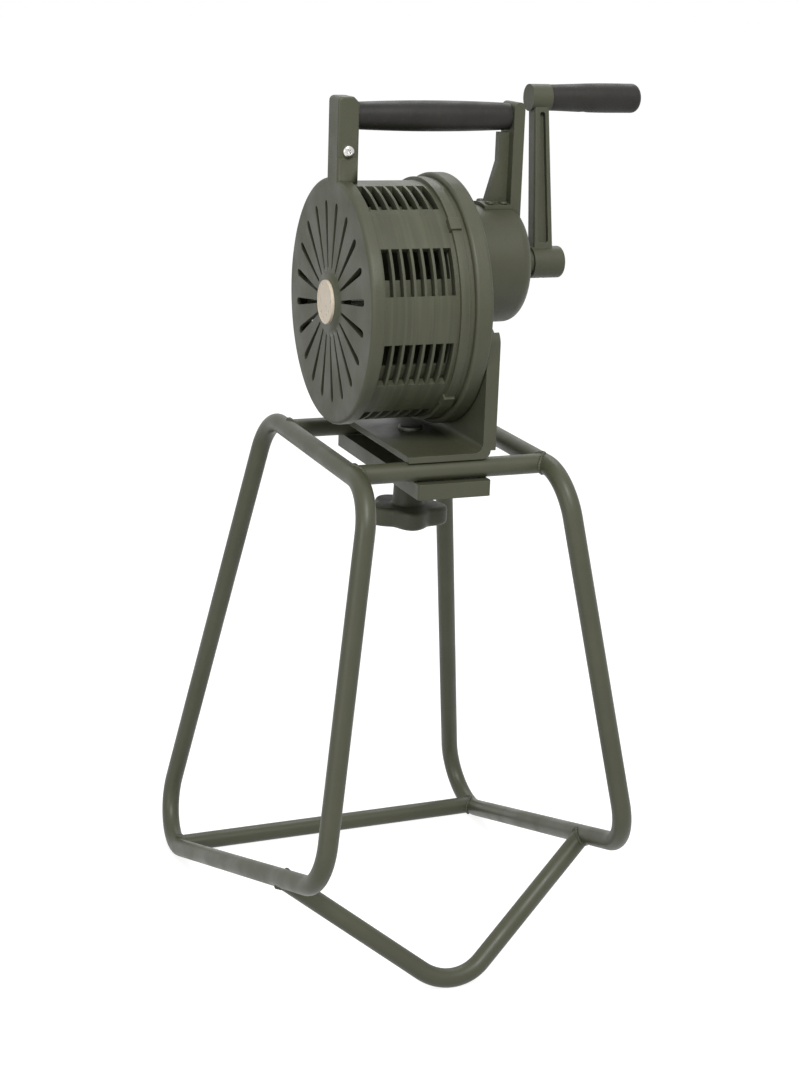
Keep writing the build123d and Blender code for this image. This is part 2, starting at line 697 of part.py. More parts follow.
def wheel_outline(teeth, turned):
    """Outline of a wheel with stub involute teeth, one of them centred on an angle."""
    pitch_r = tooth_module * teeth / 2
    base_r = pitch_r * cos(radians(pressure_angle))
    half_tooth = (pi * tooth_module - backlash) / 4 / pitch_r
    flank = []
    for in_modules in (-dedendum, 0, addendum):
        r = pitch_r + tooth_module * in_modules
        slope = acos(min(1.0, base_r / r))
        flank.append((r, half_tooth + involute(radians(pressure_angle)) - involute(slope)))
    points = []
    for tooth in range(teeth):
        middle = turned + 360 * tooth / teeth
        points += [polar(r, middle - degrees(half)) for r, half in flank]
        points += [polar(r, middle + degrees(half)) for r, half in reversed(flank)]
    return points


def wheel(teeth, turned, place, width, bore_r):
    """A toothed wheel on a plane across the drum axis, large ones with a thinner web."""
    pitch_r = tooth_module * teeth / 2
    with BuildPart() as piece:
        with BuildSketch(place):
            Polygon(*wheel_outline(teeth, turned), align=None)
            Circle(bore_r, mode=Mode.SUBTRACT)
        extrude(amount=width)
        if pitch_r > 2 * (wheel_rim + bore_r):
            recess = (width - wheel_web) / 2
            for face, depth in ((place, recess), (place.offset(width), -recess)):
                with BuildSketch(face):
                    Circle(pitch_r - wheel_rim)
                    Circle(bore_r + wheel_rim, mode=Mode.SUBTRACT)
                extrude(amount=depth, mode=Mode.SUBTRACT)
    return piece.part


# A wheel has a tooth on the line of centres, and its pinion a gap there.
crank_to_idler = degrees(atan2(idler_z - crank_offset, idler_y))
idler_to_rotor = degrees(atan2(-idler_z, -idler_y))
idler_pinion_turned = crank_to_idler + 180 + 180 / idler_pinion_teeth
rotor_pinion_turned = idler_to_rotor + 180 + 180 / rotor_pinion_teeth
idler_axis_z = drum_z + idler_z
idler_front_x = drum_back_x + 0.5
idler_pinion_x = crank_wheel_x - pinion_extra
idler_pinion_w = crank_wheel_w + 2 * pinion_extra

with BuildPart() as rotor_pinion:
    place = across(rotor_pinion_x)
    bore = rotor_nose_r + set_gap
    add(wheel(rotor_pinion_teeth, rotor_pinion_turned, place, pinion_w, bore))
finish(rotor_pinion.part, "rotor_pinion")

with BuildPart() as idler_shaft:
    with BuildSketch(across(idler_front_x, idler_y, idler_axis_z)):
        Circle(idler_r)
    extrude(amount=idler_pinion_x + idler_pinion_w - idler_front_x)
finish(idler_shaft.part, "idler_shaft")

with BuildPart() as idler_gear:
    place = across(idler_wheel_x, idler_y, idler_axis_z)
    add(wheel(idler_teeth, idler_to_rotor, place, idler_wheel_w, idler_r + set_gap))
finish(idler_gear.part, "idler_gear")

with BuildPart() as idler_pinion:
    place = across(idler_pinion_x, idler_y, idler_axis_z)
    bore = idler_r + set_gap
    add(wheel(idler_pinion_teeth, idler_pinion_turned, place, idler_pinion_w, bore))
finish(idler_pinion.part, "idler_pinion")

for end, bush_x, bush_length in (
    ("front", drum_back_x, bearing_plate_t),
    ("rear", back_plate_x, housing_wall),
):
    place = across(bush_x, idler_y, idler_axis_z)
    bush = ring(place, idler_bush_r, idler_r + run_gap, bush_length)
    finish(bush, f"{end}_idler_bush")

# ---------------------------------------------------------------- gear housing and crank
crank_bush_r = crank_shaft_r + bush_wall
crank_shaft_x = crank_wheel_x - 2.0
crank_shaft_end = crank_hub_end - 7.0
box_screw_length = box_lug_t + housing_wall - 1

with BuildPart() as gear_housing:
    with BuildSketch(across(housing_back_x, 0, crank_z)):
        Circle(gearbox_r)
    extrude(amount=gearbox_back_x - housing_back_x)
    fillet(edges().filter_by(GeomType.CIRCLE).sort_by(Axis.X)[-1], gearbox_round)
    with BuildSketch(across(housing_back_x, 0, crank_z)):
        with Locations(*box_lug_places):
            Circle(box_lug_r)
    extrude(amount=box_lug_t)
    with BuildSketch(across(housing_back_x, 0, crank_z)):
        Circle(gearbox_r - gearbox_wall)
    extrude(amount=gearbox_back_x - gearbox_wall - housing_back_x, mode=Mode.SUBTRACT)
    with BuildSketch(across(inner_boss_x, 0, crank_z)):
        Circle(nose_r)
    extrude(amount=nose_x - inner_boss_x)
    fillet(edges().filter_by(GeomType.CIRCLE).sort_by(Axis.X)[-1], 1.5)
    with BuildSketch(across(inner_boss_x, 0, crank_z)):
        Circle(crank_bush_r + set_gap)
    extrude(amount=nose_x - inner_boss_x, mode=Mode.SUBTRACT)
    with BuildSketch(across(housing_back_x, 0, crank_z)):
        with Locations(*box_lug_places):
            Circle(screw_r + set_gap)
    extrude(amount=box_lug_t, mode=Mode.SUBTRACT)
    # Tapped holes for the handle's rear post.
    saddle_screw_places = [
        (saddle_front_x + x, side * (saddle_half_w + rear_web_t / 2) / 2)
        for x in saddle_screw_x
        for side in (-1, 1)
    ]
    with BuildSketch(Plane.XY.offset(crank_z + gearbox_r - gearbox_wall - 2)):
        with Locations(*saddle_screw_places):
            Circle(small_screw_r + set_gap)
    extrude(amount=gearbox_wall + 4, mode=Mode.SUBTRACT)
finish(gear_housing.part, "gear_housing")

with BuildPart() as gear_housing_screws:
    for y, z in box_lug_places:
        seat = across(housing_back_x + box_lug_t, y, crank_z + z)
        add(screw(seat, screw_r, screw_head_r, screw_head_h, box_screw_length))
finish(gear_housing_screws.part, "gear_housing_screws")

for end, bush_x in (("inner", inner_boss_x), ("outer", nose_x - crank_bush_length)):
    place = across(bush_x, 0, crank_z)
    bush = ring(place, crank_bush_r, crank_shaft_r + run_gap, crank_bush_length)
    finish(bush, f"{end}_crank_bush")

with BuildPart() as crank_gear:
    place = across(crank_wheel_x, 0, crank_z)
    add(wheel(crank_teeth, crank_to_idler, place, crank_wheel_w, crank_shaft_r + set_gap))
finish(crank_gear.part, "crank_gear")

with BuildPart() as crank_shaft:
    with BuildSketch(across(crank_shaft_x, 0, crank_z)):
        Circle(crank_shaft_r)
    extrude(amount=crank_shaft_end - crank_shaft_x)
finish(crank_shaft.part, "crank_shaft")

# The arm's own plane: its x is +X and its y runs from the hub to the grip.
tilt = radians(crank_angle)
arm_plane = Plane(
    origin=(0, 0, crank_z), x_dir=(1, 0, 0), z_dir=(0, -cos(tilt), sin(tilt))
)
grip_y = crank_radius * sin(tilt)
grip_z = crank_z + crank_radius * cos(tilt)
set_screw_x = (crank_hub_x + crank_shaft_end) / 2


def arm_outline(inset, start, end):
    """The arm seen along its thin way, tapered from foot to tip, less an inset each side."""
    Polygon(
        (arm_foot_x + inset, start),
        (arm_foot_x + arm_foot_w - inset, start),
        (arm_tip_x + arm_tip_w - inset, end),
        (arm_tip_x + inset, end),
        align=None,
    )


with BuildPart() as crank_arm:
    with BuildSketch(arm_plane):
        arm_outline(0, 0, crank_radius)
    extrude(amount=arm_depth / 2, both=True)
    fillet(edges().filter_by(lambda edge: edge.length > crank_radius - 1), 2.5)
    # A long groove in each side leaves two ribs and a web.
    for side in (-1, 1):
        with BuildSketch(arm_plane.offset(side * arm_depth / 2)) as groove:
            arm_outline(arm_rib, crank_hub_r + 3, crank_radius - boss_r - 2)
            fillet(groove.vertices(), 2.5)
        extrude(amount=-side * (arm_depth - arm_web) / 2, mode=Mode.SUBTRACT)
    with BuildSketch(across(crank_hub_x, 0, crank_z)):
        Circle(crank_hub_r)
    extrude(amount=crank_hub_end - crank_hub_x)
    fillet(edges().filter_by(GeomType.CIRCLE).sort_by(Axis.X)[-1], 3)
    with BuildSketch(across(boss_x, grip_y, grip_z)):
        Circle(boss_r)
    extrude(amount=boss_end - boss_x)
    with BuildSketch(across(crank_hub_x, 0, crank_z)):
        Circle(crank_shaft_r + set_gap)
    extrude(amount=crank_shaft_end - crank_hub_x, mode=Mode.SUBTRACT)
    with BuildSketch(across(boss_x, grip_y, grip_z)):
        Circle(axle_r + set_gap)
    extrude(amount=boss_end - boss_x, mode=Mode.SUBTRACT)
    with BuildSketch(radial(set_screw_x, 270 - crank_angle, crank_z)):
        Circle(screw_r + set_gap)
    extrude(amount=crank_hub_r + 1, mode=Mode.SUBTRACT)
finish(crank_arm.part, "crank_arm")

with BuildPart() as crank_set_screw:
    with BuildSketch(radial(set_screw_x, 270 - crank_angle, crank_z).offset(crank_shaft_r)):
        Circle(screw_r)
    extrude(amount=crank_hub_r - crank_shaft_r - 0.5)
finish(crank_set_screw.part, "crank_set_screw")

grip_x = boss_end + face_gap
grip_end = grip_x + crank_grip_length
axle_end = grip_end - 7.0

with BuildPart() as grip_axle:
    with BuildSketch(across(boss_x, grip_y, grip_z)):
        Circle(axle_r)
    extrude(amount=axle_end - boss_x)
finish(grip_axle.part, "grip_axle")

with BuildPart() as crank_grip:
    with BuildSketch(lengthwise(grip_z, grip_y)):
        with BuildLine():
            side = Spline(
                (grip_x, crank_grip_r0),
                (grip_x + crank_grip_length * 0.55, crank_grip_r1),
                (grip_end - crank_grip_round, crank_grip_r1),
                tangents=((1, 0.02), (1, 0)),
            )
            nose = RadiusArc(
                side @ 1, (grip_end, crank_grip_r1 - crank_grip_round), crank_grip_round
            )
            Polyline(nose @ 1, (grip_end, 0), (grip_x, 0), side @ 0)
        make_face()
    revolve(axis=Axis((0, grip_y, grip_z), (1, 0, 0)))
    with BuildSketch(across(grip_x, grip_y, grip_z)):
        Circle(axle_r + run_gap)
    extrude(amount=crank_grip_length, mode=Mode.SUBTRACT)
    with BuildSketch(across(grip_end, grip_y, grip_z)):
        Circle(retainer_r + face_gap)
    extrude(amount=axle_end - face_gap - grip_end, mode=Mode.SUBTRACT)
finish(crank_grip.part, "crank_grip")

with BuildPart() as grip_retainer:
    with BuildSketch(across(axle_end, grip_y, grip_z)):
        Circle(retainer_r)
    extrude(amount=retainer_t)
    fillet(edges().filter_by(GeomType.CIRCLE).sort_by(Axis.X)[-1], 1.5)
finish(grip_retainer.part, "grip_retainer")

# ---------------------------------------------------------------- carry handle
handle_z = drum_z + handle_height
post_back_x = face_x + post_w

with BuildPart() as handle_front_arm:
    with BuildSketch(lengthwise()) as arm_side:
        with Locations((post_mid_x, (post_split + post_top) / 2)):
            Rectangle(post_w, post_top - post_split)
        fillet(arm_side.vertices().group_by(Axis.Y)[-1].sort_by(Axis.X)[0], 5)
        chamfer(arm_side.vertices().group_by(Axis.Y)[-1].sort_by(Axis.X)[-1], 6)
    extrude(amount=post_depth / 2, both=True)
    fillet(edges().filter_by(Axis.Z), 2)
    with BuildSketch(Plane.XY.offset(drum_z + post_split)):
        with Locations((post_mid_x, 0)):
            Rectangle(tongue_w + 2 * set_gap, tongue_t + 2 * set_gap)
    extrude(amount=tongue_h + face_gap, mode=Mode.SUBTRACT)
    with BuildSketch(lengthwise(drum_z, -post_depth / 2)):
        with Locations((post_mid_x, post_screw_z)):
            Circle(screw_r + set_gap)
    extrude(amount=-post_depth + 4, mode=Mode.SUBTRACT)
    with BuildSketch(across(post_back_x, 0, handle_z)):
        Circle(rod_r + set_gap)
    extrude(amount=-rod_sink, mode=Mode.SUBTRACT)
finish(handle_front_arm.part, "handle_front_arm")

with BuildPart() as handle_screw:
    seat = Plane(
        origin=(post_mid_x, -post_depth / 2, drum_z + post_screw_z),
        x_dir=(1, 0, 0),
        z_dir=(0, -1, 0),
    )
    add(screw(seat, screw_r, screw_head_r, screw_head_h, post_depth - 5))
finish(handle_screw.part, "handle_screw")

rear_post_back_x = rear_post_x + rear_post_t
rear_post_foot_z = crank_offset + gearbox_r - gearbox_round
web_top_z = handle_height - carry_grip_r1 - face_gap
saddle_top_r = gearbox_r + saddle_t
saddle_screw_y = saddle_screw_places[-1][1]
saddle_seat_z = crank_z + sqrt(saddle_top_r**2 - saddle_screw_y**2) - face_gap

with BuildPart() as handle_rear_post:
    # Flange that the grip butts against.
    with BuildSketch(lengthwise()) as flange_side:
        with Locations((rear_post_x + rear_post_t / 2, (rear_post_foot_z + rear_post_top) / 2)):
            Rectangle(rear_post_t, rear_post_top - rear_post_foot_z)
        fillet(flange_side.vertices().group_by(Axis.Y)[-1], 5)
    extrude(amount=rear_post_w / 2, both=True)
    # Web under the grip, flaring to the foot.
    with BuildSketch(lengthwise()):
        Polygon(
            (rear_post_x + 1, rear_post_foot_z),
            (rear_post_x + 1, web_top_z),
            (rear_post_x - rear_web_out, web_top_z),
            (rear_post_x - rear_web_out, rear_web_knee),
            (rear_post_x - rear_web_foot_out, crank_offset + gearbox_r),
            (rear_post_x - rear_web_foot_out, rear_post_foot_z),
            align=None,
        )
    extrude(amount=rear_web_t / 2, both=True)
    # Saddle over the top of the gear housing.
    with BuildSketch(across(saddle_front_x, 0, crank_z)) as saddle:
        Circle(saddle_top_r)
        with Locations((0, saddle_top_r)):
            Rectangle(2 * saddle_half_w, saddle_top_r, mode=Mode.INTERSECT)
    extrude(amount=rear_post_x + 1 - saddle_front_x)
    # The underside is bedded on the gear housing and its rounded rear edge.
    with BuildSketch(lengthwise(crank_z)):
        with BuildLine():
            bed = Line(
                (housing_back_x, gearbox_r + set_gap),
                (gearbox_back_x - gearbox_round, gearbox_r + set_gap),
            )
            corner = RadiusArc(
                bed @ 1,
                (gearbox_back_x + set_gap, gearbox_r - gearbox_round),
                gearbox_round + set_gap,
            )
            Polyline(corner @ 1, (gearbox_back_x + set_gap, 0), (housing_back_x, 0), bed @ 0)
        make_face()
    revolve(axis=Axis((0, 0, crank_z), (1, 0, 0)), mode=Mode.SUBTRACT)
    with BuildSketch(Plane.XY.offset(crank_z)):
        with Locations(*saddle_screw_places):
            Circle(small_screw_r + set_gap)
    extrude(amount=saddle_top_r, mode=Mode.SUBTRACT)
    with BuildSketch(Plane.XY.offset(saddle_seat_z)):
        with Locations(*saddle_screw_places):
            Circle(small_head_r + face_gap)
    extrude(amount=saddle_top_r, mode=Mode.SUBTRACT)
    with BuildSketch(across(rear_post_x, 0, handle_z)):
        Circle(rod_r + set_gap)
    extrude(amount=rear_post_t - 3, mode=Mode.SUBTRACT)
finish(handle_rear_post.part, "handle_rear_post")

with BuildPart() as rear_post_screws:
    for x, y in saddle_screw_places:
        seat = Plane(origin=(x, y, saddle_seat_z))
        add(screw(seat, small_screw_r, small_head_r, small_head_h, saddle_t + gearbox_wall - 1))
finish(rear_post_screws.part, "rear_post_screws")

rod_front_x = post_back_x - rod_sink + face_gap

with BuildPart() as handle_rod:
    with BuildSketch(across(rod_front_x, 0, handle_z)):
        Circle(rod_r)
    extrude(amount=rear_post_back_x - 3 - face_gap - rod_front_x)
finish(handle_rod.part, "handle_rod")

with BuildPart() as carry_grip:
    with BuildSketch(lengthwise(handle_z)):
        with BuildLine():
            crown = ThreePointArc(
                (post_back_x, carry_grip_r0),
                ((post_back_x + rear_post_x) / 2, carry_grip_r1),
                (rear_post_x, carry_grip_r0),
            )
            Polyline(crown @ 1, (rear_post_x, 0), (post_back_x, 0), crown @ 0)
        make_face()
    revolve(axis=Axis((0, 0, handle_z), (1, 0, 0)))
    with BuildSketch(across(post_back_x, 0, handle_z)):
        Circle(rod_r + set_gap)
    extrude(amount=rear_post_x - post_back_x, mode=Mode.SUBTRACT)
finish(carry_grip.part, "carry_grip")
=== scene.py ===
# %% [markdown]
# # A hand crank siren on its tube stand
# The siren and the stand arrive as a imported CAD model, which stays exactly where it is.
# Blender adds what a CAD model lacks: paint, metal and plastic, weld beads, real screw heads
# and studio light. Every length here is in metres.

# %% The imported model
import json
import math

import bmesh
import bpy
from mathutils import Matrix, Vector


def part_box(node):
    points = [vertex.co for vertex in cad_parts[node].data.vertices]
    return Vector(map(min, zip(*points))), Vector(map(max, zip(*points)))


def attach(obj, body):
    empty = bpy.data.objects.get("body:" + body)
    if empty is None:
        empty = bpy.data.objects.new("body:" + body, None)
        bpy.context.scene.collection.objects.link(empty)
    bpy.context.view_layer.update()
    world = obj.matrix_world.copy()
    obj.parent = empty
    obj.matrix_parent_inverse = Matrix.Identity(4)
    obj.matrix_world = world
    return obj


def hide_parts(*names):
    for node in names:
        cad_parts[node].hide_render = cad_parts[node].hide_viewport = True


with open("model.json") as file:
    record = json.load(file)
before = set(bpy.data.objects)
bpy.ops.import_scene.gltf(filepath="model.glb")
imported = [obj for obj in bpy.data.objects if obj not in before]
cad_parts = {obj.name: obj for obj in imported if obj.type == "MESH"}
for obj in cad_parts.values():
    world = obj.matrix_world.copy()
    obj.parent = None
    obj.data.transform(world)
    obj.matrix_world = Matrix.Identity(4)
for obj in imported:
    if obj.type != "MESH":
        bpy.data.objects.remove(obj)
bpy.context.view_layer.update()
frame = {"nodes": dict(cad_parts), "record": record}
nodes = frame["nodes"]

# %% [markdown]
# ## Camera
# A camera could be set by eye. This one was worked out from the photograph instead: the
# corners of the stand and the rim of the drum fix its direction, its distance and its lens,
# and the picture is turned by two degrees, as a hand-held camera is.

# %% Camera
SWING, RISE, ROLL = math.radians(-22.04), math.radians(16.42), math.radians(2.0)
DISTANCE, LENS, FARTHEST = 1.9145, 64.58, 100.0
AIM = Vector((-0.0074, 0.0, 0.4219))

back = Vector(
    (math.sin(SWING) * math.cos(RISE), -math.cos(SWING) * math.cos(RISE), math.sin(RISE))
)
level = Vector((math.cos(SWING), math.sin(SWING), 0.0))
upright = back.cross(level)
across = level * math.cos(ROLL) + upright * math.sin(ROLL)
up = upright * math.cos(ROLL) - level * math.sin(ROLL)

camera = bpy.data.objects.new("camera", bpy.data.cameras.new("camera"))
bpy.context.scene.collection.objects.link(camera)
camera.data.lens = LENS
camera.data.clip_end = FARTHEST
pointing = Matrix((across, up, back)).transposed().to_4x4()
camera.matrix_world = Matrix.Translation(AIM + back * DISTANCE) @ pointing
bpy.context.scene.camera = camera
print("camera at", camera.location)

# %% [markdown]
# ## Studio
# The photograph has a plain white ground. The floor is a real plane that takes the object's
# shadow, and the part of its light that only the camera sees lifts it to white. The world does
# the same, and lights the object with a soft grey.

# %% Floor and world
FLOOR_HALF = 30.0
STUDIO_GREY = 0.40
FLOOR_GLOW, FLOOR_PAINT = 0.86, 0.38
FLOOR_UNSEEN = 0.50


def seen_directly(tree):
    """Light Path's camera, glossy and transmission rays added up to one factor."""
    path = tree.nodes.new("ShaderNodeLightPath")
    total = path.outputs["Is Camera Ray"]
    for kind in ("Is Glossy Ray", "Is Transmission Ray"):
        joined = tree.nodes.new("ShaderNodeMath")
        joined.operation = "MAXIMUM"
        tree.links.new(total, joined.inputs[0])
        tree.links.new(path.outputs[kind], joined.inputs[1])
        total = joined.outputs[0]
    return total


world = bpy.data.worlds.new("studio")
bpy.context.scene.world = world
world.use_nodes = True
tree = world.node_tree
soft = tree.nodes["Background"]
soft.inputs["Color"].default_value = (STUDIO_GREY, STUDIO_GREY, STUDIO_GREY, 1)
white = tree.nodes.new("ShaderNodeBackground")
white.inputs["Color"].default_value = (1, 1, 1, 1)
either = tree.nodes.new("ShaderNodeMixShader")
tree.links.new(seen_directly(tree), either.inputs["Fac"])
tree.links.new(soft.outputs[0], either.inputs[1])
tree.links.new(white.outputs[0], either.inputs[2])
tree.links.new(either.outputs[0], tree.nodes["World Output"].inputs["Surface"])

floor_paint = bpy.data.materials.new("floor_paint")
floor_paint.use_nodes = True
tree = floor_paint.node_tree
tree.nodes.remove(tree.nodes["Principled BSDF"])
matt = tree.nodes.new("ShaderNodeBsdfDiffuse")
matt.inputs["Color"].default_value = (FLOOR_UNSEEN, FLOOR_UNSEEN, FLOOR_UNSEEN, 1)
shaded = tree.nodes.new("ShaderNodeBsdfDiffuse")
shaded.inputs["Color"].default_value = (FLOOR_PAINT, FLOOR_PAINT, FLOOR_PAINT, 1)
glow = tree.nodes.new("ShaderNodeEmission")
glow.inputs["Color"].default_value = (1, 1, 1, 1)
glow.inputs["Strength"].default_value = FLOOR_GLOW
lifted = tree.nodes.new("ShaderNodeAddShader")
tree.links.new(shaded.outputs[0], lifted.inputs[0])
tree.links.new(glow.outputs[0], lifted.inputs[1])
either = tree.nodes.new("ShaderNodeMixShader")
tree.links.new(seen_directly(tree), either.inputs["Fac"])
tree.links.new(matt.outputs[0], either.inputs[1])
tree.links.new(lifted.outputs[0], either.inputs[2])
tree.links.new(either.outputs[0], tree.nodes["Material Output"].inputs["Surface"])

sheet = bmesh.new()
bmesh.ops.create_grid(sheet, x_segments=1, y_segments=1, size=FLOOR_HALF)
floor_mesh = bpy.data.meshes.new("floor")
sheet.to_mesh(floor_mesh)
sheet.free()
floor_mesh.materials.append(floor_paint)
floor = bpy.data.objects.new("floor", floor_mesh)
bpy.context.scene.collection.objects.link(floor)
bpy.context.scene.view_settings.view_transform = "Standard"
print("floor", 2 * FLOOR_HALF, "m wide")

# %% [markdown]
# ## Lamps
# Satin paint shows its form by broad, soft highlights. One lamp stands high over the camera and
# gives the drum its bright upper half, a weaker one on the left draws a line down each leg, and
# one behind the siren lights the upper edges, as softboxes do in a product studio.

# %% Lamps
LAMPS = {
    "key_lamp": ((-0.3, -2.2, 2.9), 1.1, 74.0),
    "side_lamp": ((-2.4, -1.6, 1.2), 0.9, 17.0),
    "back_lamp": ((0.8, 1.5, 2.6), 1.2, 18.0),
}
LIT_POINT = Vector((0.0, 0.0, 0.5))

for name, (place, size, power) in LAMPS.items():
    lamp = bpy.data.lights.new(name, "AREA")
    lamp.size, lamp.energy = size, power
    holder = bpy.data.objects.new(name, lamp)
    bpy.context.scene.collection.objects.link(holder)
    holder.location = place
    towards = LIT_POINT - Vector(place)
    holder.rotation_euler = towards.to_track_quat("-Z", "Y").to_euler()
    print(name, power, "W")

# %% [markdown]
# ## How a finish is built
# Each finish starts from one Principled shader. A slow noise makes the colour uneven, a fast
# one gives the skin of the paint or metal, and a Bevel node finds the edges: where its rounded
# normal leaves the true one, the coat is thin and rubbed. Its normal also softens the edge,
# so that it catches light as a real edge does.

# %% Nodes that every finish uses
# The cosine between the rounded and the true normal, where rubbing begins and is full.
RUB_BEGINS, RUB_FULL = 0.985, 0.90


def new_finish(name):
    """A material, its node tree, its shader and its object coordinates."""
    finish = bpy.data.materials.new(name)
    finish.use_nodes = True
    tree = finish.node_tree
    place = tree.nodes.new("ShaderNodeTexCoord").outputs["Object"]
    return finish, tree, tree.nodes["Principled BSDF"], place


def noise(tree, place, scale, detail=3.0):
    """Cloudy values around a half."""
    cloud = tree.nodes.new("ShaderNodeTexNoise")
    cloud.inputs["Scale"].default_value = scale
    cloud.inputs["Detail"].default_value = detail
    tree.links.new(place, cloud.inputs["Vector"])
    return cloud.outputs["Fac"]


def spread(tree, value, low, high, to_low=0.0, to_high=1.0):
    """Maps low..high onto to_low..to_high, held at both ends."""
    mapped = tree.nodes.new("ShaderNodeMapRange")
    settings = zip(("From Min", "From Max", "To Min", "To Max"), (low, high, to_low, to_high))
    for socket, number in settings:
        mapped.inputs[socket].default_value = number
    tree.links.new(value, mapped.inputs["Value"])
    return mapped.outputs["Result"]


def times(tree, first, second):
    """Multiplies two values, each a socket or a number."""
    product = tree.nodes.new("ShaderNodeMath")
    product.operation = "MULTIPLY"
    for socket, value in zip(product.inputs, (first, second)):
        if isinstance(value, (int, float)):
            socket.default_value = value
        else:
            tree.links.new(value, socket)
    return product.outputs[0]


def blend_colours(tree, factor, first, second):
    """Goes from the first colour to the second. Either may be a socket."""
    mixed = tree.nodes.new("ShaderNodeMix")
    mixed.data_type = "RGBA"
    tree.links.new(factor, mixed.inputs["Factor"])
    for socket, colour in ((mixed.inputs[6], first), (mixed.inputs[7], second)):
        if isinstance(colour, tuple):
            socket.default_value = (*colour, 1)
        else:
            tree.links.new(colour, socket)
    return mixed.outputs[2]


def round_edges(tree, radius):
    """The rounded normal of an edge, and a mask that is 1 on the edge."""
    eased = tree.nodes.new("ShaderNodeBevel")
    eased.samples = 4
    eased.inputs["Radius"].default_value = radius
    facing = tree.nodes.new("ShaderNodeNewGeometry").outputs["Normal"]
    cosine = tree.nodes.new("ShaderNodeVectorMath")
    cosine.operation = "DOT_PRODUCT"
    tree.links.new(eased.outputs["Normal"], cosine.inputs[0])
    tree.links.new(facing, cosine.inputs[1])
    return eased.outputs["Normal"], spread(tree, cosine.outputs["Value"], RUB_BEGINS, RUB_FULL)


def bump(tree, height, normal, depth):
    """Raises the surface by a height, on top of an earlier normal."""
    raised = tree.nodes.new("ShaderNodeBump")
    raised.inputs["Distance"].default_value = depth
    tree.links.new(height, raised.inputs["Height"])
    tree.links.new(normal, raised.inputs["Normal"])
    return raised.outputs["Normal"]


def shade(colour, by):
    """A colour made lighter or darker."""
    return tuple(part * by for part in colour)


print("finish helpers ready")

# %% [markdown]
# ## Satin paint
# The stand, the castings and the bracket wear the same grey-green satin enamel. It could be one
# material, but tube is smooth and a casting is grainy under its paint, so the size and the
# depth of the grain are set for each. The drum was turned before it was painted, and its fine
# grooves catch the light in lines round it. These lines are painted highlights: lighter colour
# drawn by a noise squeezed across the axis, not relief.

# %% Satin paint
ENAMEL = (0.064, 0.067, 0.041)
RUBBED = (0.125, 0.135, 0.105)
PAINT_EDGE_R, PAINT_SPECULAR = 0.0009, 0.36
# The drum's painted highlight lines: their stretch, how many run in a metre, and how much
# lighter they are.
BAND_STRETCH, BANDS_A_METRE, BAND_HIGHLIGHT = (1.0, 0.03, 0.03), 230.0, 1.9


def satin_paint(name, colour, grain, grain_depth, gloss=(0.36, 0.50), wear=0.55, groove_highlight=0.0):
    """Enamel with clouds and specks, rubbed edges, grain, and painted highlight lines of turned
    grooves if wanted.
    """
    finish, tree, shader, place = new_finish(name)
    cloud = spread(tree, noise(tree, place, 7.0, 4.0), 0.32, 0.68)
    speck = spread(tree, noise(tree, place, 60.0, 5.0), 0.36, 0.64)
    base = blend_colours(tree, cloud, shade(colour, 0.90), shade(colour, 1.10))
    mottled = blend_colours(tree, times(tree, speck, 0.35), base, shade(colour, 0.86))
    # Painted highlights: lighter lines round the drum where its turned grooves would catch the
    # light.
    if groove_highlight:
        around = tree.nodes.new("ShaderNodeMapping")
        around.inputs["Scale"].default_value = BAND_STRETCH
        tree.links.new(place, around.inputs["Vector"])
        ringed = noise(tree, around.outputs["Vector"], BANDS_A_METRE, 2.0)
        lines = times(tree, spread(tree, ringed, 0.38, 0.62), groove_highlight)
        mottled = blend_colours(tree, lines, mottled, shade(colour, BAND_HIGHLIGHT))
    rounded, edge = round_edges(tree, PAINT_EDGE_R)
    patchy = spread(tree, noise(tree, place, 160.0, 4.0), 0.42, 0.62)
    rub = times(tree, times(tree, edge, patchy), wear)
    tree.links.new(blend_colours(tree, rub, mottled, RUBBED), shader.inputs["Base Color"])
    rough = spread(tree, noise(tree, place, 26.0, 5.0), 0.35, 0.65, *gloss)
    tree.links.new(rough, shader.inputs["Roughness"])
    skin = noise(tree, place, grain, 3.0)
    tree.links.new(bump(tree, skin, rounded, grain_depth), shader.inputs["Normal"])
    shader.inputs["Specular IOR Level"].default_value = PAINT_SPECULAR
    print(name, colour)
    return finish


tube_paint = satin_paint("tube_paint", ENAMEL, 900.0, 0.00008)
plate_paint = satin_paint("plate_paint", ENAMEL, 700.0, 0.00010)
casting_paint = satin_paint("casting_paint", ENAMEL, 520.0, 0.00022, (0.42, 0.56))
# The drum's paint carries painted highlight lines for its turned grooves.
drum_paint = satin_paint(
    "drum_paint", shade(ENAMEL, 0.90), 520.0, 0.00022, (0.40, 0.54), groove_highlight=0.30
)
knob_paint = satin_paint("knob_paint", shade(ENAMEL, 0.82), 420.0, 0.00026, (0.46, 0.60))
screw_paint = satin_paint("screw_paint", shade(ENAMEL, 0.95), 900.0, 0.00006, (0.34, 0.46), 0.9)
rotor_paint = satin_paint("rotor_paint", shade(ENAMEL, 1.05), 520.0, 0.00020, (0.50, 0.62))

# %% [markdown]
# ## Bare metals
# Inside are steel shafts and gears and bronze bushes. Turned and ground metal is never one
# even grey, so its roughness changes along fine streaks.

# %% Bare metals
METAL_EDGE_R, METAL_GRAIN = 0.0006, 0.00004
ALONG_X, EVEN = (8, 0.4, 0.4), (1, 1, 1)


